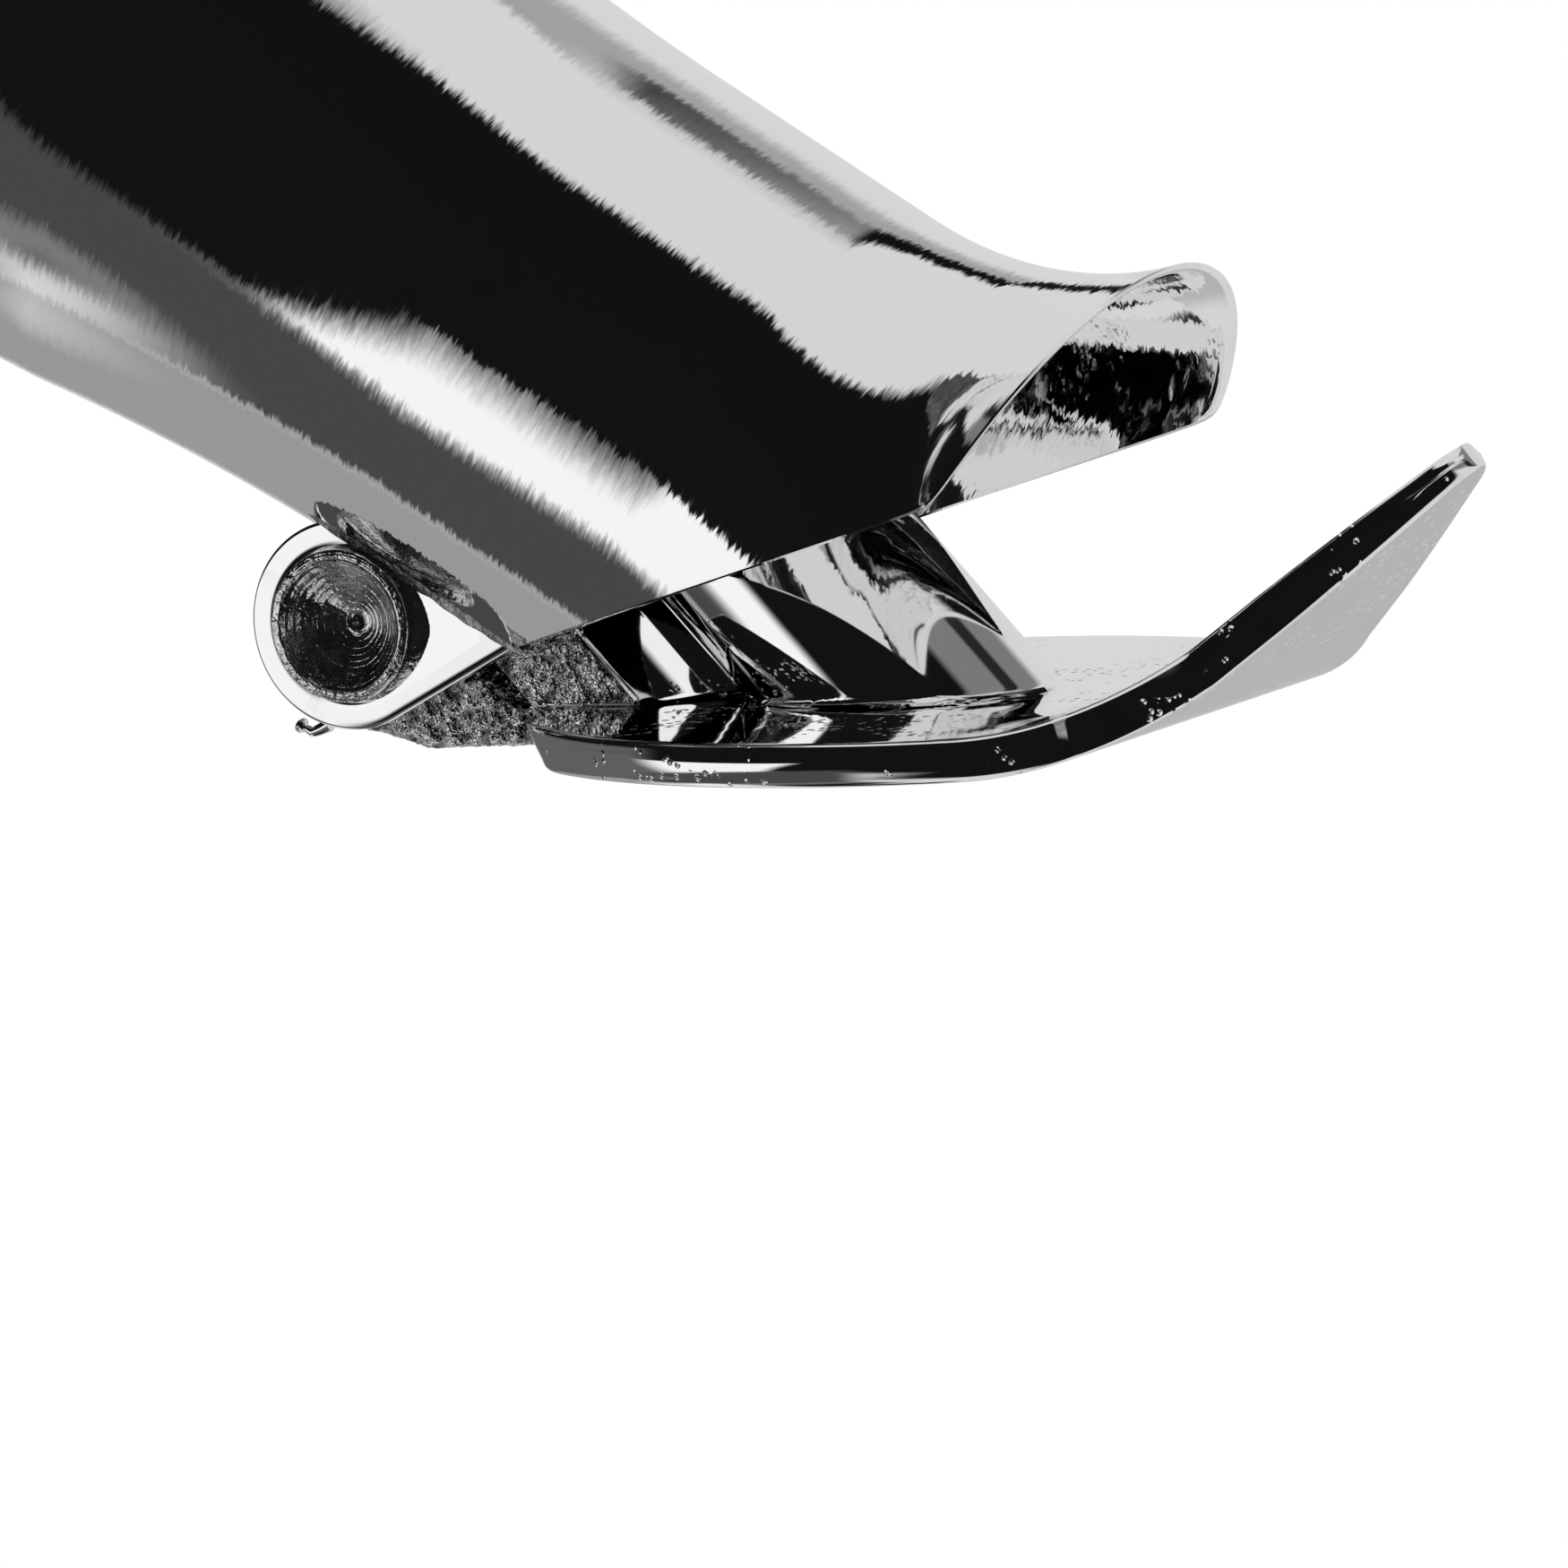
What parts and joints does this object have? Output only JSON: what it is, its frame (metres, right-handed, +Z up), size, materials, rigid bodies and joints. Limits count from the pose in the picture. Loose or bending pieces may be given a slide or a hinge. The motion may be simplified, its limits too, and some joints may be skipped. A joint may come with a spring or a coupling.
{
  "type": "bottle pourer",
  "caption": "Chrome bottle pourer: a slanted spout tube with a drip lip and a hinged self-closing flap, on a collar and a finned stopper.",
  "frame": {"origin": "on the bottle's axis, level with the bottle's rim, where the stopper's flange rests on it", "axes": "+Z up along the bottle's axis, +X towards the pouring side, Y along the hinge pin"},
  "size_m": [0.0421, 0.024, 0.0783],
  "materials": {
    "chrome_tube": "mirror polished chrome plate",
    "chrome_casting": "chrome plate over a die casting, polished on its faces and rough at its edges",
    "rivet_metal": "plated, with turning rings where it was spun over",
    "braze": "dark plated fillet",
    "steel_tube": "drawn steel tube",
    "stopper_rubber": "matt black moulded elastomer"
  },
  "bodies": {
    "spout": {"spout_tube": "chrome_tube", "left_hinge_lug": "chrome_tube", "right_hinge_lug": "chrome_tube", "lug_braze": "braze", "hinge_rivet": "rivet_metal", "collar_ring": "chrome_tube", "finned_stopper": "stopper_rubber", "core_sleeve": "steel_tube", "breather_tube": "steel_tube"},
    "flap": {"flap": "chrome_casting"}
  },
  "joints": [
    {"name": "flap_hinge", "type": "hinge", "parent": "spout", "child": "flap", "pos_m": [0.00548, 0, 0.02974], "axis": [0, -1, 0], "range_deg": [-16.2, 70]}
  ]
}
